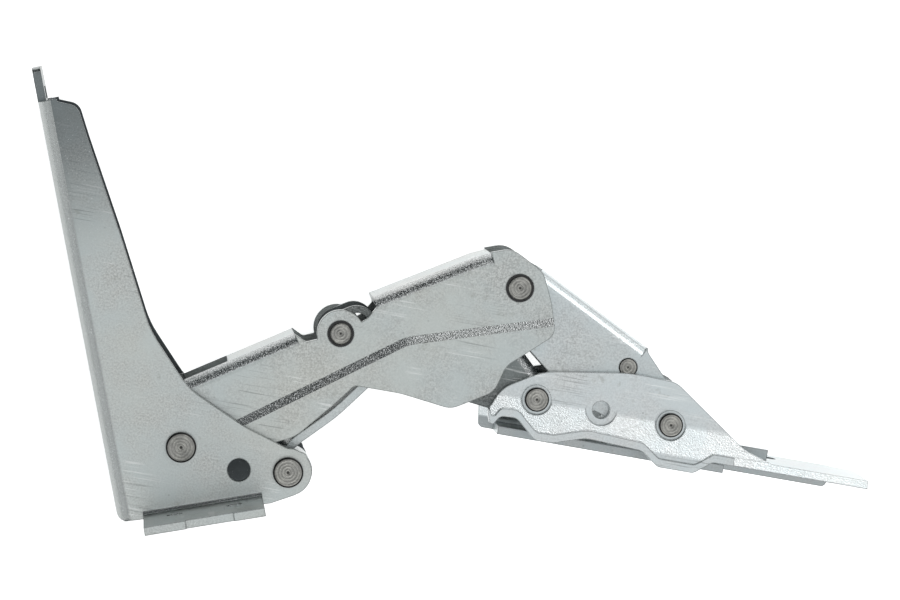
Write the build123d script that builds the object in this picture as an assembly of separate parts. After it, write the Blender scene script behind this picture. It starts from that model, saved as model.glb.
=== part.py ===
# Concealed seven-pivot door hinge, modelled wide open.
# Frame: millimetres, +Z along the hinge pins, Z = 0 midway between the cheeks,
# Y = 0 on the appliance bracket's mounting face, X along that face,
# X = 0 close to the pin that carries the outer link.

import os
from math import atan2, cos, degrees, hypot, radians, sin, tan

from build123d import *

# ---- sheet and layers across the width -------------------------------------
SHEET = 1.5
SIDE_GAP = 0.3
LINK_HALF = 6.75
LINK_IN = LINK_HALF - SHEET
ARM_HALF = LINK_HALF + SIDE_GAP + SHEET
ARM_IN = ARM_HALF - SHEET
JOGGLE = 0.65
JOGGLE_RUN = 1.5
ARM_WIDE_HALF = ARM_HALF + JOGGLE
ARM_WIDE_IN = ARM_WIDE_HALF - SHEET
DOOR_HALF = ARM_WIDE_HALF + SIDE_GAP + SHEET
DOOR_IN = DOOR_HALF - SHEET
LEVER_HALF = LINK_IN - SIDE_GAP
DOOR_BEND = 3.0
LINK_BEND = 2.4
BEND_STUB = 0.4

# ---- pivots ----------------------------------------------------------------
DOOR_ARM = (-87.5, -11.2)
DOOR_LEVER = (-67.7, -12.4)
ARM_CROSS = (-62.6, 13.8)
ARM_LINK = (-32.0, 27.6)
LINK_LEVER = (-9.7, 16.7)
FIXED_CROSS = (-25.4, 8.2)
FIXED_LINK = (-0.4, 7.8)

# ---- pins and fits ---------------------------------------------------------
RUN = 0.05
DOOR_PIN_R = 2.0
OPEN_PIN_R = 1.6
LINK_PIN_R = 1.7
LEVER_PIN_R = 1.4
FIXED_PIN_R = 1.8
DOOR_HEAD_R = 2.75
FIXED_HEAD_R = 2.2
CROSS_END_R = 1.95
LINK_END_R = 2.1
LEVER_END_R = 1.7
HEAD_RISE = 1.0
END_RISE = 0.4
END_EDGE = 0.2
DIMPLE_R = 0.45
DIMPLE_DEEP = 0.35
BUSH_WALL = 0.45
COLLAR_WALL = 1.1
COLLAR_PLAY = 0.15
WASHER_R = 2.7
WASHER_THICK = 0.4

# slack at the two pivots where the closed chain is opened
CROSS_SLOT_TO = (2.75, 1.75)
CROSS_SLOT_HALF = OPEN_PIN_R + 0.8
LEVER_EYE_SHIFT = (0.8, -0.3)
LEVER_EYE_R = OPEN_PIN_R + 1.0

# ---- ears and straps -------------------------------------------------------
DOOR_EAR_R = 4.3
ARM_EAR_R = 4.7
ARM_BUMP_R = 4.3
LINK_EAR_R = 5.0
LINK_FOOT_EAR_R = 4.4
CROSS_EAR_R = 4.6
EYE_WALL = 1.3

# ---- holes -----------------------------------------------------------------
DOOR_SCREW_R = 2.2
DOOR_SCREWS = (22.0, 52.0)
DOOR_SIDE_HOLE = (-76.5, -13.5)
DOOR_SIDE_HOLE_R = 2.1
COIN_HOLE = (-13.4, 8.3)
COIN_HOLE_R = 1.6
COIN_PAD_R = 2.85
BASE_SCREW_R = 1.9
BASE_SCREWS = ((-19.0, -3.5), (-9.0, -3.5))
TONGUE_HOLE_R = 2.3
TONGUE_HOLE = (19.5, -3.5)

# ---- door bracket ----------------------------------------------------------
WEB_LOW = (-96.3, -26.6)
DOOR_HEEL = (-69.8, -18.5)
WEB_HIGH = (-123.5, 45.4)
TAB_LONG = 6.2
TAB_HALF = 8.0
TAB_SLOT = (2.2, 8.0)
CORNER_R = 1.8
FOOT_START = (-92.0, -24.55)
FOOT_ANGLE = 19.1
FOOT_LONG = 21.6
FOOT_REACH = 18.0
FOOT_BEND = 2.4
FOOT_HOLE_R = 1.4
FOOT_HOLES = (5.6, 16.4)
FOOT_HOLE_REACH = 6.0
FOOT_NOTCH = (7.4, 16.0, 0.7)

# ---- appliance bracket -----------------------------------------------------
FLARE_HIGH = 8.2
FLARE_LOW = 2.2
HEM_STEP = 0.5
HEM_REACH = 24.0
BASE_ENDS = (-30.5, 12.0)
RIM_END = 33.0
TONGUE_LOW = 2.5
TONGUE_START = 9.5
TONGUE_END = 37.2
TONGUE_FAR = -8.6
STOP_LUG = (13.6, 19.0, 1.9)

# ---- outer arm -------------------------------------------------------------
ARM_WEB_LEFT = (-89.0, 0.5)
ARM_WEB_RIGHT = (-70.8, 12.3)
ARM_WINDOW = 9.6

FAR = 150.0


# ---- drawing helpers -------------------------------------------------------
def rounding(before, vertex, after, radius):
    """The arc that rounds one corner: its start, middle and end."""
    ax, ay = before[0] - vertex[0], before[1] - vertex[1]
    bx, by = after[0] - vertex[0], after[1] - vertex[1]
    la, lb = hypot(ax, ay), hypot(bx, by)
    ax, ay, bx, by = ax / la, ay / la, bx / lb, by / lb
    half = 0.5 * atan2(abs(ax * by - ay * bx), ax * bx + ay * by)
    run = radius / tan(half)
    mx, my = ax + bx, ay + by
    lm = hypot(mx, my)
    reach = radius / sin(half) - radius
    start = (vertex[0] + ax * run, vertex[1] + ay * run)
    middle = (vertex[0] + mx / lm * reach, vertex[1] + my / lm * reach)
    end = (vertex[0] + bx * run, vertex[1] + by * run)
    return start, middle, end


def rounded_edges(points, closed):
    """Edges through (x, y[, radius]) points, each corner rounded."""
    count = len(points)
    edges = []
    last = None
    first = None
    for i, point in enumerate(points):
        radius = point[2] if len(point) > 2 else 0
        inner = closed or 0 < i < count - 1
        arc = None
        if inner and radius > 0:
            arc = rounding(points[i - 1], point, points[(i + 1) % count], radius)
        start = arc[0] if arc else (point[0], point[1])
        if last is not None:
            edges.append(Edge.make_line(last + (0,), start + (0,)))
        if first is None:
            first = start
        last = start
        if arc:
            edges.append(Edge.make_three_point_arc(*[p + (0,) for p in arc]))
            last = arc[2]
    if closed:
        edges.append(Edge.make_line(last + (0,), first + (0,)))
    return edges


def face_of(points):
    """A flat face bounded by a rounded outline."""
    return Face(Wire(rounded_edges(points, True)))


def corner_cutter(before, vertex, after, radius):
    """Flat face that trims one corner to an arc, reaching past the outline."""
    start, middle, end = rounding(before, vertex, after, radius)
    away = hypot(middle[0] - vertex[0], middle[1] - vertex[1])
    grow = 1 + radius / away
    centre = (vertex[0] + (middle[0] - vertex[0]) * grow, vertex[1] + (middle[1] - vertex[1]) * grow)
    outer = [(centre[0] + 1.8 * (p[0] - centre[0]), centre[1] + 1.8 * (p[1] - centre[1]))
             for p in (start, vertex, end)]
    path = [start] + outer + [end]
    edges = [Edge.make_line(a + (0,), b + (0,)) for a, b in zip(path[:-1], path[1:])]
    edges.append(Edge.make_three_point_arc(end + (0,), middle + (0,), start + (0,)))
    return Face(Wire(edges))


def disc(centre, radius):
    """A flat round face."""
    return Pos(centre[0], centre[1], 0) * Circle(radius)


def slab(face, low, high):
    """A face carried from one height along Z to another."""
    return Pos(0, 0, low) * extrude(face, amount=high - low, dir=(0, 0, 1))


def rod(centre, radius, low, high):
    """A round bar along Z."""
    return slab(disc(centre, radius), low, high)


def tube(centre, inner, outer, low, high):
    """A round sleeve along Z."""
    return rod(centre, outer, low, high) - rod(centre, inner, low, high)


def twin(shape):
    """A shape together with its mirror image across the middle plane."""
    return shape + mirror(shape, about=Plane.XY)


def placed(shape, start, end):
    """A shape drawn along +X from the origin, laid along a line in XY."""
    angle = degrees(atan2(end[1] - start[1], end[0] - start[0]))
    return Pos(start[0], start[1], 0) * Rot(0, 0, angle) * shape


def polyline(points, steps=5):
    """Plain points along a rounded path, each arc cut into short steps."""
    out = []
    for i, point in enumerate(points):
        radius = point[2] if len(point) > 2 else 0
        if radius == 0 or i in (0, len(points) - 1):
            out.append((point[0], point[1]))
            continue
        start, middle, end = rounding(points[i - 1], point, points[i + 1], radius)
        arc = Edge.make_three_point_arc(start + (0,), middle + (0,), end + (0,))
        spots = [arc @ (k / steps) for k in range(steps + 1)]
        out += [(spot.X, spot.Y) for spot in spots]
    return out


def side_step(path, distance):
    """The path moved to its right by a distance, with mitred corners."""
    moved = []
    count = len(path)
    for i in range(count):
        a = path[max(i - 1, 0)]
        b = path[i]
        c = path[min(i + 1, count - 1)]
        into = atan2(b[1] - a[1], b[0] - a[0]) if i else None
        out = atan2(c[1] - b[1], c[0] - b[0]) if i < count - 1 else None
        into = out if into is None else into
        out = into if out is None else out
        mean = 0.5 * (into + out)
        reach = distance / cos(0.5 * (out - into))
        moved.append((b[0] + reach * sin(mean), b[1] - reach * cos(mean)))
    return moved


def strip(path, outward, inward):
    """Flat quadrilaterals that cover a path from its left to its right side."""
    left = side_step(path, -outward)
    right = side_step(path, inward)
    quads = []
    for i in range(len(path) - 1):
        quads.append(face_of([left[i], left[i + 1], right[i + 1], right[i]]))
    return quads


def swept(section, path, outward, inward, half):
    """A section carried along a path, mitred at each corner."""
    quads = strip(path, outward, inward)
    frame = Plane(origin=(0, 0, 0), x_dir=(0, -1, 0), z_dir=(1, 0, 0))
    whole = None
    for start, end, quad in zip(path[:-1], path[1:], quads):
        length = hypot(end[0] - start[0], end[1] - start[1])
        bar = Pos(-6, 0, 0) * extrude(frame * section, amount=length + 12, dir=(1, 0, 0))
        piece = placed(bar, start, end) & slab(quad, -half, half)
        whole = piece if whole is None else whole + piece
    return whole


def web_section(half, bend):
    """Section of a web with its two bends: X is depth, Y is across."""
    deep = bend + BEND_STUB
    inner = half - SHEET
    return face_of([
        (deep, half), (0, half, bend), (0, -half, bend), (deep, -half),
        (deep, -inner), (SHEET, -inner, bend - SHEET),
        (SHEET, inner, bend - SHEET), (deep, inner),
    ])


def channel(outline, webs, half, bend):
    """Two cheeks joined by webs; each web path has the channel on its right."""
    deep = bend + BEND_STUB
    for path in webs:
        for quad in strip(path, 2.0, deep):
            outline = outline - quad
    shape = twin(slab(outline, half - SHEET, half))
    for path in webs:
        shape = shape + swept(web_section(half, bend), path, 1.0, deep, half + 1)
    return shape


def through(centre, radius):
    """A cutter for a round hole through everything along Z."""
    return rod(centre, radius, -FAR, FAR)


def pivot_pin(centre, shaft, head, grip, rise):
    """A riveted pin: shaft, and at each end a turned head with a dimple."""
    end = grip + rise
    pin = rod(centre, shaft, -grip, grip)
    cap = rod(centre, head, grip, end)
    cap = chamfer(cap.edges().group_by(Axis.Z)[-1], END_EDGE)
    cap = cap - rod(centre, DIMPLE_R, end - DIMPLE_DEEP, end + 1)
    return pin + twin(cap)


# ---- door bracket ----------------------------------------------------------
def door_outline():
    """Side view of the door bracket's cheeks."""
    plate = face_of([
        WEB_LOW, DOOR_HEEL, (-65.2, -16.0, 1.5), (-64.6, -8.6, 1.0),
        (-68.9, -8.1, 2.0), (-77.0, -5.6, 25), (-88.0, -0.6, 14), (-96.6, 8.6, 18),
        (-104.8, 24.5), (-113.4, 40.2, 12), (-116.4, 46.0, 2.4), (-121.6, 46.2, 0.6),
        WEB_HIGH,
    ])
    return plate + disc(DOOR_LEVER, DOOR_EAR_R)


def door_bracket():
    """Channel screwed to the door, with its foot flange and top tab."""
    web = [WEB_LOW, WEB_HIGH]
    shape = channel(door_outline(), [web], DOOR_HALF, DOOR_BEND)
    shape = shape - slab(corner_cutter(WEB_HIGH, WEB_LOW, DOOR_HEEL, CORNER_R), -FAR, FAR)
    shape = door_foot(shape)
    tab = Box(TAB_LONG + 2, SHEET, 2 * TAB_HALF, align=(Align.MIN, Align.MAX, Align.CENTER))
    tab = fillet(tab.edges().filter_by(Axis.Y).group_by(Axis.X)[-1], 1.2)
    slot = Box(TAB_SLOT[0], 4, TAB_SLOT[1])
    tab = Pos(-2, 0, 0) * (tab - Pos(3.4, 0, 0) * slot)
    far = (2 * WEB_HIGH[0] - WEB_LOW[0], 2 * WEB_HIGH[1] - WEB_LOW[1])
    shape = shape + placed(tab, WEB_HIGH, far)
    for along in DOOR_SCREWS:
        drill = Pos(along, 0, 0) * Rot(90, 0, 0) * Cylinder(DOOR_SCREW_R, 8)
        shape = shape - placed(drill, WEB_LOW, WEB_HIGH)
    shape = shape - through(DOOR_ARM, DOOR_PIN_R)
    shape = shape - through(DOOR_LEVER, OPEN_PIN_R)
    return shape - rod(DOOR_SIDE_HOLE, DOOR_SIDE_HOLE_R, 0, FAR)


def door_foot(shape):
    """The near cheek's bottom edge turned outward into a drilled flange."""
    tip = DOOR_HALF + FOOT_REACH
    lift = FOOT_BEND + 0.6
    room = Box(FOOT_LONG, 8, 8, align=(Align.MIN, Align.MAX, Align.CENTER))
    room = Pos(0, lift, DOOR_HALF - SHEET / 2) * room
    section = face_of([
        (lift, DOOR_IN), (lift, DOOR_HALF), (0, DOOR_HALF, FOOT_BEND - SHEET),
        (0, tip), (-SHEET, tip), (-SHEET, DOOR_IN, FOOT_BEND),
    ])
    flange = extrude(Plane.YZ * section, amount=FOOT_LONG)
    low, high, deep = FOOT_NOTCH
    notch = Box(high - low, 6, deep, align=(Align.MIN, Align.CENTER, Align.MAX))
    flange = flange - Pos(low, 0, tip) * notch
    for along in FOOT_HOLES:
        drill = Rot(90, 0, 0) * Cylinder(FOOT_HOLE_R, 8)
        flange = flange - Pos(along, 0, DOOR_HALF + FOOT_HOLE_REACH) * drill
    seat = Pos(FOOT_START[0], FOOT_START[1], 0) * Rot(0, 0, FOOT_ANGLE)
    return shape - seat * room + seat * flange


# ---- outer arm -------------------------------------------------------------
def arm_outline():
    """Side view of the long arm's cheeks."""
    plate = face_of([
        (-85.0, -15.2), (-72.2, -8.3, 8), (-67.4, -6.0, 8), (-61.3, 1.3, 12), (-58.5, 5.0, 1.2),
        (-50.0, 5.0, 20), (-40.5, 3.8, 4), (-33.3, 8.2, 4), (-32.0, 13.2, 4),
        (-24.2, 20.3, 2.5), (-25.6, 25.5, 20), (-28.3, 31.2, 4), (-34.6, 34.4, 4),
        (-38.5, 33.0, 3), (-58.0, 21.2), (-57.0, 19.6, 0.3), (-58.4, 17.2, 1.0), (-62.6, 13.8),
        (-68.5, 11.2, 1.0), ARM_WEB_RIGHT, ARM_WEB_LEFT, (-91.0, -0.4, 1.0), (-92.0, -9.5),
    ])
    return plate + disc(DOOR_ARM, ARM_EAR_R) + disc(ARM_CROSS, ARM_BUMP_R)


def arm_joggle():
    """Line along which the arm's lower part steps outward."""
    return polyline([(-100.0, -5.3), (-79.0, -5.3), (-50.8, 15.3, 9), (-12.0, 27.4)], 4)


def outer_arm():
    """Long arm: upper part tied by two webs, lower part stepped outward."""
    line = arm_joggle()
    low_line = side_step(line, JOGGLE_RUN)
    upper = face_of(line + [(-12.0, FAR), (-100.0, FAR)])
    lower = face_of(low_line + [(-12.0, -FAR), (-100.0, -FAR)])
    full = arm_outline()
    long_web = polyline([(-58.0, 21.2), (-41.0, 31.6, 9), (-38.2, 32.9)])
    shape = channel(full & upper, [[ARM_WEB_LEFT, ARM_WEB_RIGHT], long_web], ARM_HALF, LINK_BEND)
    window = Box(ARM_WINDOW, 8, 2 * (ARM_HALF - LINK_BEND), align=(Align.MIN, Align.CENTER, Align.CENTER))
    shape = shape - placed(Pos(-1, 0, 0) * window, ARM_WEB_LEFT, ARM_WEB_RIGHT)
    shape = shape + twin(slab(full & lower, ARM_WIDE_IN, ARM_WIDE_HALF))
    section = face_of([
        (0, ARM_IN), (0, ARM_HALF), (JOGGLE_RUN, ARM_WIDE_HALF), (JOGGLE_RUN, ARM_WIDE_IN),
    ])
    step = swept(section, line, 0, JOGGLE_RUN, DOOR_HALF)
    shape = shape + twin(step & slab(full, -DOOR_HALF, DOOR_HALF))
    shape = shape - through(DOOR_ARM, DOOR_PIN_R + RUN)
    shape = shape - through(ARM_CROSS, CROSS_END_R + BUSH_WALL)
    return shape - through(ARM_LINK, LINK_END_R + BUSH_WALL)


# ---- outer link, cross link, lever ----------------------------------------
def outer_link():
    """Triangular link between the appliance bracket, the arm and the lever."""
    web = [(-28.4, 31.6), (-6.8, 20.8)]
    plate = face_of([
        (-35.0, 31.0), (-28.4, 31.6), (-6.8, 20.8), (-6.5, 19.9, 0.4), (2.6, 10.4, 1.0), (1.5, 3.9),
        (-3.5, 4.2, 3), (-20.6, 9.9, 3), (-23.9, 13.4, 1.0), (-28.7, 17.2, 1.5), (-34.6, 23.4),
    ])
    plate = plate + disc(ARM_LINK, LINK_EAR_R) + disc(FIXED_LINK, LINK_FOOT_EAR_R)
    shape = channel(plate, [web], LINK_HALF, LINK_BEND)
    shape = shape - through(ARM_LINK, LINK_PIN_R + RUN)
    shape = shape - through(LINK_LEVER, LEVER_END_R)
    return shape - through(FIXED_LINK, FIXED_PIN_R + RUN)


def cross_slot(half):
    """Outline of the long eye in the cross link's free end."""
    length = hypot(*CROSS_SLOT_TO)
    slot = Pos(length / 2, 0, 0) * SlotOverall(length + 2 * half, 2 * half)
    end = (ARM_CROSS[0] + CROSS_SLOT_TO[0], ARM_CROSS[1] + CROSS_SLOT_TO[1])
    return placed(slot, ARM_CROSS, end)


def cross_link():
    """Inner link across the mechanism, from the bracket to the long arm."""
    web = [(-29.3, 16.35), (-25.6, 12.85)]
    plate = face_of([
        (-29.3, 16.35), (-24.1, 11.4), (-21.3, 9.4), (-24.0, 3.9), (-28.0, 4.3, 4), (-44.0, 6.2, 20),
        (-64.0, 10.4), (-60.5, 18.4), (-46.0, 17.8, 20), (-34.0, 17.4, 6),
    ])
    plate = plate + disc(FIXED_CROSS, CROSS_EAR_R) + cross_slot(CROSS_SLOT_HALF + EYE_WALL)
    shape = channel(plate, [web], LINK_HALF, LINK_BEND)
    shape = shape - slab(cross_slot(CROSS_SLOT_HALF), -FAR, FAR)
    return shape - through(FIXED_CROSS, FIXED_PIN_R + RUN)


def inner_lever():
    """Bowed strap with a rolled eye at each end."""
    eye = (DOOR_LEVER[0] + LEVER_EYE_SHIFT[0], DOOR_LEVER[1] + LEVER_EYE_SHIFT[1])
    pinned = LEVER_PIN_R + RUN
    run = [
        (LINK_LEVER[0] - 0.8, LINK_LEVER[1] + pinned + SHEET / 2), (-20.0, 20.9, 30), (-30.5, 20.4, 30),
        (-42.5, 16.6, 30), (-54.0, 8.2, 30), (-60.9, -1.0, 30), (-67.2, -7.4, 10),
        (eye[0] - 2.0, eye[1] + 2.4),
    ]
    strap = trace(Wire(rounded_edges(run, False)), SHEET)
    flat = strap + disc(LINK_LEVER, pinned + EYE_WALL) + disc(eye, LEVER_EYE_R + EYE_WALL)
    flat = flat - disc(LINK_LEVER, pinned) - disc(eye, LEVER_EYE_R)
    return slab(flat, -LEVER_HALF, LEVER_HALF)


# ---- appliance bracket -----------------------------------------------------
def bracket_top():
    """Upper edge of the appliance bracket's cheeks, right to left."""
    return [
        (19.0, TONGUE_LOW + SHEET, 2.0), (13.9, 5.6, 6), (-0.6, 15.6, 4), (-9.0, 15.9, 30),
        (-25.0, 13.4, 12), (-31.8, 9.2, 6), (-34.0, 4.6, 1.5),
    ]


def bracket_section():
    """Section of one flared cheek: X is across, Y is up."""
    outer = DOOR_HALF - HEM_STEP
    inner = outer - SHEET
    return face_of([
        (ARM_HALF, 20), (ARM_HALF, FLARE_HIGH, 4), (outer, FLARE_LOW, 3), (outer, -1),
        (inner, -1), (inner, FLARE_LOW, 1.5), (ARM_IN, FLARE_HIGH, 2.5), (ARM_IN, 20),
    ])


def bracket_sides():
    """The near cheek with its wavy hem and the far cheek with its full rim."""
    near = face_of(bracket_top() + [
        (-33.0, 1.9, 0.5), (-31.6, 4.2, 1.2), (-28.6, 4.4, 2.0), (-24.6, 0.9, 2.0),
        (-21.4, 1.0, 3.0), (-15.5, 2.9, 6), (-5.0, 2.4, 2.5), (-1.7, 0.0, 1.6), (5.0, 0.0, 1.6),
        (8.1, TONGUE_LOW, 1.2), (TONGUE_END, TONGUE_LOW), (TONGUE_END, TONGUE_LOW + SHEET),
    ])
    far = face_of(bracket_top() + [
        (-33.3, 0.0, 1.0), (RIM_END, 0.0, 1.0), (RIM_END, TONGUE_LOW + SHEET),
    ])
    bar = Plane(origin=(0, 0, 0), x_dir=(0, 0, 1), z_dir=(-1, 0, 0)) * bracket_section()
    bar = extrude(bar, amount=60, both=True)
    hem = (near - Pos(0, SHEET, 0) * near) & (Pos(-12, 0, 0) * Rectangle(2 * HEM_REACH, 14))
    near = (bar & slab(near, 0, FAR)) + slab(hem, DOOR_IN - HEM_STEP, DOOR_HALF)
    return near + (mirror(bar, about=Plane.XY) & slab(far, -FAR, 0))


def plate_along(x_low, x_high, y_low, z_low, z_high):
    """A flat piece of sheet lying along the mounting face."""
    piece = Box(x_high - x_low, SHEET, z_high - z_low, align=(Align.MIN, Align.MIN, Align.MIN))
    return Pos(x_low, y_low, z_low) * piece


def drilled(x, z, radius):
    """A cutter for a hole straight through the mounting face."""
    return Pos(x, 0, z) * Rot(90, 0, 0) * Cylinder(radius, 30)


def appliance_bracket():
    """Bracket fixed to the appliance: flared cheeks, base and tongue."""
    shape = bracket_sides()
    shape = shape + plate_along(BASE_ENDS[0], BASE_ENDS[1], 0, -DOOR_IN - 0.2, 0)
    shape = shape + plate_along(-0.6, 4.4, 0, -1, DOOR_IN + 0.2)
    tongue = plate_along(TONGUE_START, TONGUE_END, TONGUE_LOW, TONGUE_FAR, DOOR_IN + 0.2)
    tongue = fillet(tongue.edges().filter_by(Axis.Y).group_by(Axis.X)[-1].sort_by(Axis.Z)[0], 2.0)
    shape = shape + tongue
    shape = shape + plate_along(TONGUE_START, RIM_END - 3, TONGUE_LOW, -DOOR_IN - 0.2, TONGUE_FAR + 1)
    lug = Box(STOP_LUG[1] - STOP_LUG[0], STOP_LUG[2] + 0.5, SHEET, align=(Align.MIN, Align.MIN, Align.MIN))
    shape = shape + Pos(STOP_LUG[0], TONGUE_LOW + SHEET - 0.5, 2.0) * lug
    for spot in (FIXED_CROSS, FIXED_LINK, COIN_HOLE):
        shape = shape - twin(rod(spot, COIN_PAD_R, ARM_HALF, FAR))
        shape = shape + twin(rod(spot, COIN_PAD_R, ARM_IN, ARM_HALF))
    shape = shape - through(FIXED_CROSS, FIXED_PIN_R) - through(FIXED_LINK, FIXED_PIN_R)
    shape = shape - through(COIN_HOLE, COIN_HOLE_R) - drilled(*TONGUE_HOLE, TONGUE_HOLE_R)
    for x, z in BASE_SCREWS:
        shape = shape - drilled(x, z, BASE_SCREW_R)
    return shape


# ---- pins, bushes, washers, collars ---------------------------------------
def bush_pair(centre, inner):
    """Plastic bushes in the long arm's two cheeks."""
    return twin(tube(centre, inner + RUN, inner + BUSH_WALL, ARM_IN, ARM_HALF + 0.15))


def washer_pair(centre):
    """Washers under the two heads of a fixed pin."""
    high = ARM_HALF + WASHER_THICK
    return twin(tube(centre, FIXED_PIN_R + RUN, WASHER_R, ARM_HALF, high))


def collar(centre, pin, half):
    """A spacer tube on a pin, across the middle."""
    return tube(centre, pin + RUN, pin + COLLAR_WALL, -half, half)


def parts():
    """Every sub-part by its node name."""
    side = LEVER_HALF + COLLAR_PLAY
    fixed_grip = ARM_HALF + WASHER_THICK
    spacer = twin(tube(DOOR_LEVER, OPEN_PIN_R, OPEN_PIN_R + COLLAR_WALL, side, DOOR_IN))
    return {
        "appliance_bracket": appliance_bracket(),
        "door_bracket": door_bracket(),
        "outer_arm": outer_arm(),
        "outer_link": outer_link(),
        "cross_link": cross_link(),
        "inner_lever": inner_lever(),
        "pin_door_arm": pivot_pin(DOOR_ARM, DOOR_PIN_R, DOOR_HEAD_R, DOOR_HALF, HEAD_RISE),
        "pin_door_lever": pivot_pin(DOOR_LEVER, OPEN_PIN_R, DOOR_HEAD_R, DOOR_HALF, HEAD_RISE),
        "pin_arm_cross": pivot_pin(ARM_CROSS, OPEN_PIN_R, CROSS_END_R, ARM_IN, SHEET + END_RISE),
        "pin_arm_link": pivot_pin(ARM_LINK, LINK_PIN_R, LINK_END_R, ARM_IN, SHEET + END_RISE),
        "pin_link_lever": pivot_pin(LINK_LEVER, LEVER_PIN_R, LEVER_END_R, LINK_IN, SHEET + 0.15),
        "pin_fixed_cross": pivot_pin(FIXED_CROSS, FIXED_PIN_R, FIXED_HEAD_R, fixed_grip, 0.8),
        "pin_fixed_link": pivot_pin(FIXED_LINK, FIXED_PIN_R, FIXED_HEAD_R, fixed_grip, 0.8),
        "bushes_arm_cross": bush_pair(ARM_CROSS, CROSS_END_R),
        "bushes_arm_link": bush_pair(ARM_LINK, LINK_END_R),
        "washers_fixed_cross": washer_pair(FIXED_CROSS),
        "washers_fixed_link": washer_pair(FIXED_LINK),
        "collar_door_arm": collar(DOOR_ARM, DOOR_PIN_R, ARM_WIDE_IN - COLLAR_PLAY),
        "spacers_door_lever": spacer,
        "collar_arm_link": collar(ARM_LINK, LINK_PIN_R, LINK_IN - COLLAR_PLAY),
        "collar_fixed_cross": collar(FIXED_CROSS, FIXED_PIN_R, LINK_IN - COLLAR_PLAY),
        "collar_fixed_link": collar(FIXED_LINK, FIXED_PIN_R, LINK_IN - COLLAR_PLAY),
    }


os.makedirs("parts", exist_ok=True)
for node, shape in parts().items():
    export_step(shape, f"parts/{node}.step")
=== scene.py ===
"""Looks of the concealed multi-link door hinge, lying on its side and wide open.

Lengths are metres, and a number times MM is in millimetres. Places are in the CAD frame: the pins run
along Z, and the cheeks lie flat on both sides of the middle plane, Z = 0.
"""
import math

import bpy
from mathutils import Matrix, Vector


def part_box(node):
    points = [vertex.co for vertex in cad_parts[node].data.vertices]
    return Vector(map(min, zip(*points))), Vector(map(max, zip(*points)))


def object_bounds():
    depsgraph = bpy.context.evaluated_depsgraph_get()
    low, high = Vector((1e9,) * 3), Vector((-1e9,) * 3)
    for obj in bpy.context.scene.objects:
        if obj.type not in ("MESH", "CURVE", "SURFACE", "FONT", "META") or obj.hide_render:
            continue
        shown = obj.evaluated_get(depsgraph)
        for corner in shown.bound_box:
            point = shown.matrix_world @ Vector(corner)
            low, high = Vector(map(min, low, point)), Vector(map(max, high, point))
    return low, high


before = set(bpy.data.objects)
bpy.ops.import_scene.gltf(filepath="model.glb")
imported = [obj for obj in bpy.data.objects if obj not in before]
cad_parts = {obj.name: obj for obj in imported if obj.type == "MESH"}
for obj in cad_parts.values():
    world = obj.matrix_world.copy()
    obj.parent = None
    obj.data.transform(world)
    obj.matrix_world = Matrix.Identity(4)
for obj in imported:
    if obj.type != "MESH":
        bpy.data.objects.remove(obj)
cad_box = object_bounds()
MM = 0.001

# ---- camera ----------------------------------------------------------------
TURN = math.radians(10.29)
RIGHT = Vector((math.cos(TURN), math.sin(TURN), 0.0))
UP = Vector((-math.sin(TURN), math.cos(TURN), 0.0))
OUT = Vector((0.0, 0.0, 1.0))
AIM = Vector((-44.20, 23.28, 9.0)) * MM
DISTANCE = 0.756
LEAN_LEFT = math.radians(4.21)
LEAN_UP = math.radians(3.94)
LENS = 166.94
SENSOR = 36.0
NEAREST = 10.0 * MM


def camera():
    """The camera, almost straight above the pins."""
    data = bpy.data.cameras.new("view")
    data.lens = LENS
    data.sensor_width = SENSOR
    data.clip_start = NEAREST
    obj = bpy.data.objects.new("view", data)
    bpy.context.collection.objects.link(obj)
    back = (OUT - RIGHT * math.tan(LEAN_LEFT) + UP * math.tan(LEAN_UP)).normalized()
    side = UP.cross(back).normalized()
    lift = back.cross(side).normalized()
    turn = Matrix((side, lift, back)).transposed().to_4x4()
    obj.matrix_world = Matrix.Translation(AIM + back * DISTANCE) @ turn
    bpy.context.scene.camera = obj


# ---- node helpers ----------------------------------------------------------
COLOUR_A, COLOUR_B, COLOUR_OUT = 6, 7, 2    # the colour sockets of a mix node


def opaque(colour):
    """A colour with full alpha; a socket or a four-part colour stays as it is."""
    return (*colour, 1.0) if isinstance(colour, tuple) and len(colour) == 3 else colour


def scaled(colour, by):
    """A colour with each channel multiplied."""
    return tuple(channel * factor for channel, factor in zip(colour, by))


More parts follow.
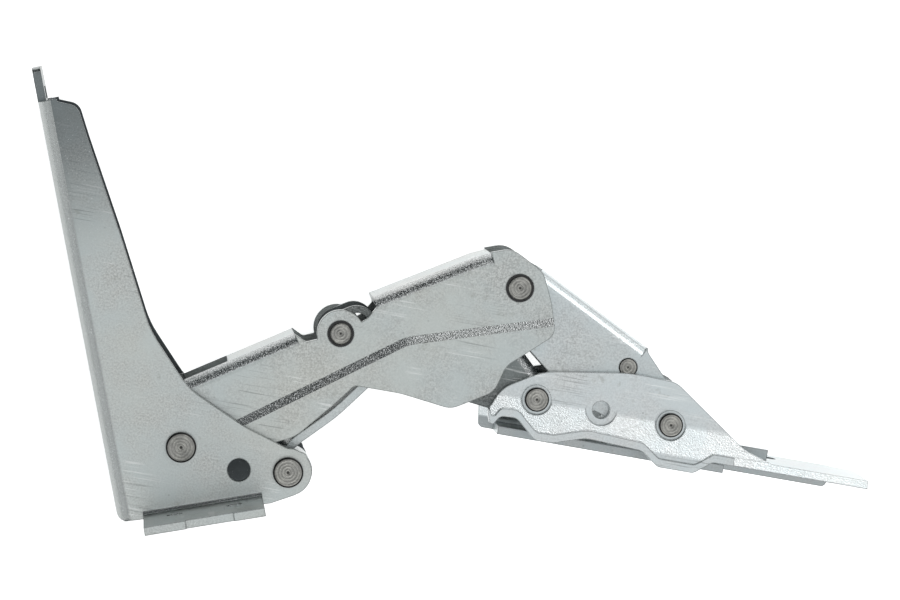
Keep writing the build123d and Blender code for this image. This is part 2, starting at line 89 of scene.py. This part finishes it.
class Nodes:
    """Short ways to add and join the nodes of one tree."""

    def __init__(self, tree):
        self.tree = tree

    def add(self, kind, **props):
        node = self.tree.nodes.new(kind)
        for key, value in props.items():
            setattr(node, key, value)
        return node

    def join(self, start, end):
        self.tree.links.new(start, end)

    def feed(self, socket, value):
        """Joins a socket, or sets a plain value."""
        if isinstance(value, bpy.types.NodeSocket):
            self.join(value, socket)
        else:
            socket.default_value = value

    def math(self, operation, a, b=0.0):
        node = self.add("ShaderNodeMath", operation=operation)
        self.feed(node.inputs[0], a)
        self.feed(node.inputs[1], b)
        return node.outputs[0]

    def times(self, a, b):
        return self.math("MULTIPLY", a, b)

    def dot(self, a, b):
        node = self.add("ShaderNodeVectorMath", operation="DOT_PRODUCT")
        self.join(a, node.inputs[0])
        self.feed(node.inputs[1], b)
        return node.outputs["Value"]

    def parts(self, vector):
        """The X, Y and Z of a vector."""
        node = self.add("ShaderNodeSeparateXYZ")
        self.join(vector, node.inputs[0])
        return tuple(node.outputs)

    def ramp(self, fac, stops):
        """Greys or colours at given places along a value."""
        node = self.add("ShaderNodeValToRGB")
        self.join(fac, node.inputs[0])
        ramp = node.color_ramp
        while len(ramp.elements) < len(stops):
            ramp.elements.new(0.5)
        for item, (at, level) in zip(ramp.elements, stops):
            item.position = at
            item.color = opaque(level if isinstance(level, tuple) else (level, level, level))
        return node.outputs[0]

    def rise(self, fac, low, high):
        """None up to the low value, all from the high value."""
        return self.ramp(fac, [(low, 0.0), (high, 1.0)])

    def fall(self, fac, low, high):
        """All up to the low value, none from the high value."""
        return self.ramp(fac, [(low, 1.0), (high, 0.0)])

    def span(self, value, low, high):
        """Maps zero to one onto low to high."""
        node = self.add("ShaderNodeMapRange")
        self.join(value, node.inputs[0])
        node.inputs["To Min"].default_value = low
        node.inputs["To Max"].default_value = high
        return node.outputs[0]

    def mix(self, fac, a, b):
        node = self.add("ShaderNodeMix", data_type="RGBA")
        self.feed(node.inputs[0], fac)
        self.feed(node.inputs[COLOUR_A], opaque(a))
        self.feed(node.inputs[COLOUR_B], opaque(b))
        return node.outputs[COLOUR_OUT]

    def lay(self, base, mask, colour, share=1.0):
        """Lays a share of a colour over the base where the mask is."""
        return self.mix(self.times(mask, share), base, colour)


class Material(Nodes):
    """One material, patterned by the CAD frame's coordinates."""

    def __init__(self, name):
        self.mat = bpy.data.materials.new(name)
        self.mat.use_nodes = True
        super().__init__(self.mat.node_tree)
        self.tree.nodes.clear()
        self.bsdf = self.add("ShaderNodeBsdfPrincipled")
        out = self.add("ShaderNodeOutputMaterial")
        self.join(self.bsdf.outputs[0], out.inputs[0])
        self.place = self.add("ShaderNodeTexCoord").outputs["Object"]

    def give(self, name, value):
        """Feeds one input of the surface shader."""
        self.feed(self.bsdf.inputs[name], value)

    def stretch(self, scale, turn):
        node = self.add("ShaderNodeMapping")
        self.join(self.place, node.inputs["Vector"])
        node.inputs["Rotation"].default_value = turn
        node.inputs["Scale"].default_value = scale
        return node.outputs[0]

    def noise(self, scale, detail, rough=0.55, where=None):
        node = self.add("ShaderNodeTexNoise")
        self.join(where or self.place, node.inputs["Vector"])
        node.inputs["Scale"].default_value = scale
        node.inputs["Detail"].default_value = detail
        node.inputs["Roughness"].default_value = rough
        return node.outputs["Fac"]

    def cells(self, scale):
        node = self.add("ShaderNodeTexVoronoi")
        self.join(self.place, node.inputs["Vector"])
        node.inputs["Scale"].default_value = scale
        return node.outputs["Distance"]

    def along(self, start, end, most):
        """Fades from none at one place to most at another, along a line."""
        run = end - start
        where = self.add("ShaderNodeVectorMath", operation="SUBTRACT")
        self.join(self.place, where.inputs[0])
        where.inputs[1].default_value = start
        node = self.add("ShaderNodeMapRange", interpolation_type="SMOOTHSTEP")
        self.join(self.dot(where.outputs[0], run / run.length_squared), node.inputs[0])
        node.inputs["To Max"].default_value = most
        return node.outputs[0]

    def relief(self, *layers):
        """Stacks bumps, each a height, a strength and a depth in millimetres."""
        normal = None
        for height, strength, depth in layers:
            node = self.add("ShaderNodeBump")
            self.join(height, node.inputs["Height"])
            node.inputs["Strength"].default_value = strength
            node.inputs["Distance"].default_value = depth * MM
            if normal is not None:
                self.join(normal, node.inputs["Normal"])
            normal = node.outputs[0]
        self.give("Normal", normal)


# ---- plated sheet ----------------------------------------------------------
# Noises: how many to the metre, detail, roughness.
FINE = (3000.0, 3.0, 0.7)
GRAIN = (5200.0, 2.0, 0.5)
SPECK = (4200.0, 2.0, 0.7)
STAR = (3600.0, 2.0, 0.6)
STAIN = (260.0, 6.0, 0.65)
CLOUD = (95.0, 5.0, 0.6)
SOFT = (38.0, 3.0, 0.5)
SCRATCH = (1.0, 2.0, 0.5)
SCUFF_PATCH = (120.0, 2.0, 0.5)
SCORE_PATCH = (70.0, 2.0, 0.5)
PITS = 420.0

# Scratches: their stretch, and the turn that the sheet's own turn is added to.
SCUFF_LINES = ((60.0, 3400.0, 60.0), 0.5)
SCORE_LINES = ((80.0, 4200.0, 80.0), -0.6)

# What is laid over the zinc: a colour, and how much of it.
SCUFF = ((0.90, 0.91, 0.90), 0.5)
SCORE = ((0.16, 0.17, 0.17), 0.5)
PIT = ((0.22, 0.23, 0.23), 0.75)
CUT_FACE = ((0.30, 0.31, 0.31), 0.15)
# painted shade: a dark line along the edges
EDGE_PAINTED_SHADE = ((0.04, 0.045, 0.045), 0.85)
# painted shade on the webs and bends
WEB_PAINTED_SHADE = (0.30, 0.315, 0.31)
# painted shade inside the channels
PAINTED_HOLLOW_SHADE = (0.07, 0.08, 0.085)
# painted glint: white, not metal
PAINTED_GLINT = (0.85, 0.87, 0.87)

# The zinc's own tones, as factors of the sheet's tone.
COOL = (0.88, 0.93, 0.95)
WARM = (1.0, 0.97, 0.90)
STAINED = (0.5, 0.5, 0.46)
SPOT_SHARE = 0.4
# how strongly the painted glint dots show
GLINT_DOT_SHARE = 0.7

EDGE_WIDTH = 0.32 * MM
EDGE_SAMPLES = 5
INSIDE_DEPTH = 4.0 * MM
CHANNEL_HALF = 0.2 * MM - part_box("door_bracket")[0][2]    # just past the door bracket's cheeks


class Sheet(Material):
    """Where the faces of a plated sheet look, and the patterns on it."""

    def __init__(self, name, turn):
        super().__init__(name)
        self.level = self.parts(self.place)[2]
        self.facing = self.parts(self.add("ShaderNodeTexCoord").outputs["Normal"])[2]
        self.flat = self.math("ABSOLUTE", self.facing)    # one on a cheek, none on a web
        self.bent = self.ramp(self.flat, [(0.06, 0.0), (0.20, 1.0), (0.955, 1.0), (0.985, 0.0)])
        self.cut = self.fall(self.flat, 0.03, 0.10)
        self.fine = self.noise(*FINE)
        self.grain = self.noise(*GRAIN)
        self.cloud = self.noise(*CLOUD)
        self.soft = self.noise(*SOFT)
        self.stain = self.noise(*STAIN)
        self.speck = self.noise(*SPECK)
        scuff_patch = self.rise(self.noise(*SCUFF_PATCH), 0.54, 0.66)
        score_place = self.stretch((1.0, 1.0, 1.0), (1.0, 0.4, 0.2))
        score_patch = self.rise(self.noise(*SCORE_PATCH, score_place), 0.52, 0.68)
        self.scuffs = self.scratches(SCUFF_LINES, turn, (0.59, 0.65), scuff_patch)
        self.scores = self.scratches(SCORE_LINES, turn, (0.61, 0.67), score_patch)
        pits = self.fall(self.cells(PITS), 0.0, 0.10)
        self.pits = self.times(pits, self.rise(self.stain, 0.46, 0.56))
        # painted glints: scattered white dots
        star_place = self.stretch((1.0, 1.0, 1.0), (0.3, 0.9, turn))
        self.glint_dots = self.rise(self.noise(*STAR, star_place), 0.69, 0.75)

    def scratches(self, lines, turn, cut_in, patch):
        """Fine parallel lines, kept to patches."""
        stretch, lean = lines
        where = self.stretch(stretch, (0.0, 0.0, lean + turn))
        return self.times(self.rise(self.noise(*SCRATCH, where), *cut_in), patch)

    def turned_down(self):
        """One on the webs and bends between the cheeks, none on the foot flange: where painted shade greys
        them.
        """
        between = self.math("LESS_THAN", self.math("ABSOLUTE", self.level), CHANNEL_HALF)
        return self.times(self.fall(self.flat, 0.95, 0.985), between)

    def inside(self):
        """One on faces that look across the middle plane, such as a cheek's inside, where painted shade
        darkens the channel.
        """
        outward = self.math("GREATER_THAN", self.times(self.level, self.facing), INSIDE_DEPTH)
        flat = self.math("GREATER_THAN", self.flat, 0.5)
        return self.times(flat, self.math("SUBTRACT", 1.0, outward))

    def edges(self):
        """One along the sheet's edges and corners, none on its flats: where a painted dark line of shade
        runs.
        """
        rounded = self.add("ShaderNodeBevel", samples=EDGE_SAMPLES)
        rounded.inputs["Radius"].default_value = EDGE_WIDTH
        plain = self.add("ShaderNodeNewGeometry").outputs["Normal"]
        off = self.math("SUBTRACT", 1.0, self.dot(rounded.outputs[0], plain))
        return self.rise(off, 0.015, 0.13)

    def zinc(self, tone, mottle):
        """The clean plating: fine mottling, cool clouds, warm patches and stains."""
        dark = scaled(tone, [1.0 - mottle] * 3)
        base = self.mix(self.rise(self.fine, 0.38, 0.62), dark, tone)
        base = self.mix(self.ramp(self.cloud, [(0.38, 0.0), (0.62, 0.8)]), base, scaled(tone, COOL))
        base = self.mix(self.ramp(self.soft, [(0.5, 0.0), (0.72, 0.35)]), base, scaled(tone, WARM))
        return self.lay(base, self.rise(self.stain, 0.62, 0.70), scaled(tone, STAINED), SPOT_SHARE)

    def worn(self, base, gall_and_glint):
        """Scratches, pits and the galled bends."""
        base = self.lay(base, self.scuffs, *SCUFF)
        base = self.lay(base, self.scores, *SCORE)
        base = self.lay(base, self.pits, *PIT)
        galled = self.ramp(self.speck, [(0.38, 0.10), (0.52, 0.42), (0.66, 0.96)])
        return self.lay(base, self.bent, galled, gall_and_glint)


def plated(name, tone, rough, mottle, turn, gall_and_glint=0.3, painted_inside_shade=0.5, painted_web_shade=0.0, shade=None):
    """Zinc-plated sheet.

    mottle: how dark the fine mottling is; turn: the scratches' own turn, in radians; gall: how galled the
    bends are and how many painted glints lie on them; murk: how dark the painted shade inside is; dull:
    how grey the painted shade on the webs and bends is; shade: one region of painted shade.
    """
    m = Sheet(name, turn)
    base = m.worn(m.zinc(tone, mottle), gall_and_glint)
    base = m.lay(base, m.cut, *CUT_FACE)
    # painted shade: the webs and bends between the cheeks are greyed, standing in for light they would not
    # catch
    base = m.lay(base, m.turned_down(), WEB_PAINTED_SHADE, painted_web_shade)
    # painted shade: a dark line along every rounded edge
    base = m.lay(base, m.edges(), *EDGE_PAINTED_SHADE)
    # painted shade: one region is darkened towards a dark tone, fading in along a line
    if shade is not None:
        held = m.math("GREATER_THAN", m.flat, shade["flat_over"])
        base = m.lay(base, held, PAINTED_SHADE_TONE, m.along(shade["start"], shade["end"], shade["most"]))
    # painted shade: faces inside the channels are darkened, as if shade fell there
    base = m.lay(base, m.inside(), PAINTED_HOLLOW_SHADE, painted_inside_shade)
    # painted glints: white dots, not metal, on the bends and over the sheet
    painted_glints = m.times(m.rise(m.speck, 0.56, 0.64), m.times(m.bent, gall_and_glint))
    painted_glints = m.math("MAXIMUM", painted_glints, m.times(m.glint_dots, GLINT_DOT_SHARE))
    m.give("Base Color", m.mix(painted_glints, base, PAINTED_GLINT))
    m.give("Metallic", m.math("SUBTRACT", 1.0, painted_glints))
    spread = m.math("ADD", m.span(m.cloud, rough - 0.08, rough + 0.08), m.span(m.grain, -0.06, 0.06))
    m.give("Roughness", m.math("SUBTRACT", spread, m.times(m.bent, 0.10)))
    rugged = m.times(m.speck, m.bent)
    m.relief(
        (m.soft, 0.6, 0.4),
        (m.fine, 0.5, 0.04),
        (m.grain, 0.3, 0.01),
        (m.scuffs, 0.4, 0.03),
        (rugged, 1.0, 0.02 + 0.1 * gall_and_glint),
    )
    return m.mat


# ---- turned steel and plastic ----------------------------------------------
WOBBLE = 0.22 * MM
# painted shade round the head's rim
RIM_PAINTED_SHADE = (0.025, 0.025, 0.025)
RIM_WIDTH = 0.06
# painted shade in the centre dimple
CENTRE_PAINTED_SHADE = ((0.03, 0.03, 0.03), 0.85)
WORN_SHARE = 0.45
GROOVE_SHARE = 0.55


def turned(name, centre, reach, tone, rough, ring, rim_from):
    """Turned steel: lathe rings about its own axis, with painted shade as a dark dot in the centre and a
    dark rim.
    """
    m = Material(name)
    m.give("Metallic", 1.0)
    x, y, _ = m.parts(m.place)
    dx = m.math("SUBTRACT", x, centre[0])
    dy = m.math("SUBTRACT", y, centre[1])
    radius = m.math("SQRT", m.math("ADD", m.times(dx, dx), m.times(dy, dy)))
    wobble = m.times(m.noise(900.0, 2.0), WOBBLE)
    rings = m.math("SINE", m.times(m.math("ADD", radius, wobble), 2 * math.pi / ring))
    fine = m.noise(2600.0, 4.0, 0.6)
    cloud = m.noise(520.0, 4.0, 0.6)
    dark = scaled(tone, (0.45, 0.45, 0.45))
    light = scaled(tone, (1.35, 1.35, 1.32))
    base = m.mix(m.rise(cloud, 0.35, 0.65), tone, light)
    base = m.lay(base, m.fall(fine, 0.36, 0.62), dark, WORN_SHARE)
    base = m.lay(base, m.rise(rings, 0.35, 0.95), dark, GROOVE_SHARE)
    share = m.math("DIVIDE", radius, reach)
    # painted shade: a dark rim round the head's edge
    base = m.mix(m.rise(share, rim_from, rim_from + RIM_WIDTH), base, RIM_PAINTED_SHADE)
    # painted shade: a dark dot in the centre dimple
    base = m.lay(base, m.fall(share, 0.08, 0.12), *CENTRE_PAINTED_SHADE)
    m.give("Base Color", base)
    m.give("Roughness", m.span(fine, rough - 0.06, rough + 0.12))
    m.relief((rings, 0.6, 0.04), (fine, 0.5, 0.03))
    return m.mat


def plastic(name):
    """Black plastic bush."""
    m = Material(name)
    fine = m.noise(1800.0, 3.0)
    m.give("Base Color", m.ramp(fine, [(0.3, 0.006), (0.7, 0.02)]))
    m.give("Roughness", m.span(fine, 0.45, 0.65))
    m.relief((fine, 0.3, 0.02))
    return m.mat


# ---- materials on every node -----------------------------------------------
LIGHT = (0.68, 0.70, 0.68)
PALE = (0.72, 0.75, 0.75)
BRIGHT = (0.78, 0.805, 0.805)
GREY = (0.46, 0.47, 0.465)
DIM = (0.27, 0.285, 0.28)
# the dark tone of the painted shade regions
PAINTED_SHADE_TONE = (0.07, 0.09, 0.10)
PIN_TONE = (0.37, 0.365, 0.345)
RIM_IN_BUSH = 0.94
RIM_OF_PIN = 0.85
RIM_OF_TUBE = 0.84
SHARP = math.radians(38)


def corner(node, right):
    """A node's upper corner on one side, at the middle plane."""
    low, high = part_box(node)
    return Vector((high[0] if right else low[0], high[1], 0.0))


DOOR_TOP = corner("door_bracket", right=False)
CROSS_TOP = corner("cross_link", right=True)
# painted shade: the door bracket's cheeks grow darker towards their upper end
DOOR_SHADE = {
    "start": DOOR_TOP + Vector((24.7, -33.7, 0.0)) * MM,
    "end": DOOR_TOP + Vector((8.7, -4.7, 0.0)) * MM,
    "most": 0.72,
    "flat_over": 0.97,    # the cheeks only
}
# painted shade: the cross link grows darker near its upper end, where it lies in a narrow gap
CROSS_SHADE = {
    "start": CROSS_TOP + Vector((-7.8, -6.05, 0.0)) * MM,
    "end": CROSS_TOP + Vector((-6.1, -4.35, 0.0)) * MM,
    "most": 0.95,
    "flat_over": -1.0,    # every face
}
SHEETS = {
    "appliance_bracket": dict(tone=BRIGHT, rough=0.33, mottle=0.22, turn=0.0, gall_and_glint=0.14, painted_inside_shade=0.35),
    "door_bracket": dict(tone=LIGHT, rough=0.34, mottle=0.34, turn=0.7, gall_and_glint=0.20, painted_inside_shade=0.93,
                         painted_web_shade=0.85, shade=DOOR_SHADE),
    "outer_arm": dict(tone=LIGHT, rough=0.32, mottle=0.38, turn=0.3, gall_and_glint=0.62, painted_inside_shade=0.38),
    "outer_link": dict(tone=PALE, rough=0.32, mottle=0.32, turn=-0.4, gall_and_glint=0.16, painted_inside_shade=0.38),
    "cross_link": dict(tone=DIM, rough=0.40, mottle=0.65, turn=0.2, gall_and_glint=0.6, shade=CROSS_SHADE),
    "inner_lever": dict(tone=PALE, rough=0.30, mottle=0.40, turn=0.9, gall_and_glint=0.2, painted_inside_shade=0.2),
}


def dress(node, material, edge):
    """Gives a CAD node its material and slightly rounded edges."""
    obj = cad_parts[node]
    obj.data.materials.clear()
    obj.data.materials.append(material)
    soft = obj.modifiers.new("edge", "BEVEL")
    soft.width = edge
    soft.segments = 2
    soft.limit_method = "ANGLE"
    soft.angle_limit = SHARP
    soft.use_clamp_overlap = True


def round_piece(node):
    """The centre and radius of a piece that is round about an axis along Z."""
    low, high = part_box(node)
    centre = ((low[0] + high[0]) / 2, (low[1] + high[1]) / 2)
    return centre, (high[0] - low[0]) / 2


def dress_pin(node):
    centre, radius = round_piece(node)
    rim = RIM_IN_BUSH if node in ("pin_arm_cross", "pin_arm_link") else RIM_OF_PIN
    dress(node, turned("turned_" + node, centre, radius, PIN_TONE, 0.34, 0.55 * MM, rim), 0.06 * MM)


def dress_tube(node):
    centre, radius = round_piece(node)
    dress(node, turned("tube_" + node, centre, 1.2 * radius, GREY, 0.36, 0.3 * MM, RIM_OF_TUBE), 0.08 * MM)


def dress_all():
    for node, look in SHEETS.items():
        dress(node, plated("sheet_" + node, **look), 0.18 * MM)
    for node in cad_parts:
        if node.startswith("pin_"):
            dress_pin(node)
        if node.startswith(("collar_", "spacers_")):
            dress_tube(node)
        if node.startswith("washers_"):
            dress(node, plated("washer_" + node, PALE, rough=0.3, mottle=0.2, turn=1.3), 0.06 * MM)
        if node.startswith("bushes_"):
            dress(node, plastic("plastic_" + node), 0.05 * MM)


# ---- floor, world and lights -----------------------------------------------
FLOOR_SIDE = 6.0
FLOOR_MIDDLE = (-40.0 * MM, 0.0)
FLOOR_GAP = 0.05 * MM
FLOOR_GLOW = 0.62
WHITE = (1.0, 1.0, 1.0, 1.0)
DARK_AIM = Vector((-0.60, 0.62, 0.50)).normalized()
DARK_SKY = (0.06, 0.07, 0.075)
DARK_EDGE = (0.70, 0.84)    # how nearly a direction is DARK_AIM, from outside the patch to inside
SKY_TINT = (0.97, 0.99, 1.0)
SIDE_SKY = (0.15, 0.88)     # the height of a direction, and the brightness there
TOP_SKY = (0.95, 0.78)
LAMPS = {
    # name: (right, up, out) from AIM, (width, height), watts
    "key": ((0.55, 0.75, 0.75), (0.9, 0.7), 3.2),
    "fill": ((0.1, -0.9, 0.8), (1.2, 0.5), 2.2),
    "side": ((-0.95, -0.2, 0.6), (0.5, 0.9), 0.4),
}


def floor():
    """A plain white floor under the hinge, faintly lit from within."""
    low = cad_box[0][2]
    bpy.ops.mesh.primitive_plane_add(size=FLOOR_SIDE, location=(*FLOOR_MIDDLE, low - FLOOR_GAP))
    obj = bpy.context.object
    obj.name = "floor"
    m = Material("floor")
    m.give("Base Color", m.ramp(m.noise(6.0, 2.0), [(0.3, 0.90), (0.7, 0.93)]))
    m.give("Roughness", 0.9)
    m.give("Emission Color", WHITE)
    m.give("Emission Strength", FLOOR_GLOW)
    obj.data.materials.append(m.mat)


def sky():
    """A pale studio: brighter round the sides, dark towards the upper left."""
    world = bpy.data.worlds.new("studio")
    world.use_nodes = True
    n = Nodes(world.node_tree)
    back = world.node_tree.nodes["Background"]
    aim = n.add("ShaderNodeTexCoord").outputs["Generated"]
    stops = [(height, scaled((level,) * 3, SKY_TINT)) for height, level in (SIDE_SKY, TOP_SKY)]
    pale = n.ramp(n.dot(aim, OUT), stops)
    dark = n.rise(n.dot(aim, DARK_AIM), *DARK_EDGE)
    n.join(n.mix(dark, pale, DARK_SKY), back.inputs["Color"])
    back.inputs["Strength"].default_value = 1.0
    bpy.context.scene.world = world


def lamp(name, offset, size, power):
    """A soft rectangular lamp that faces the hinge."""
    data = bpy.data.lights.new(name, "AREA")
    data.shape = "RECTANGLE"
    data.size, data.size_y = size
    data.energy = power
    obj = bpy.data.objects.new(name, data)
    bpy.context.collection.objects.link(obj)
    right, up, out = offset
    obj.location = AIM + RIGHT * right + UP * up + OUT * out
    obj.rotation_euler = (AIM - obj.location).to_track_quat("-Z", "Y").to_euler()


dress_all()
camera()
floor()
sky()
for name, (offset, size, power) in LAMPS.items():
    lamp(name, offset, size, power)
bpy.context.scene.view_settings.view_transform = "Standard"
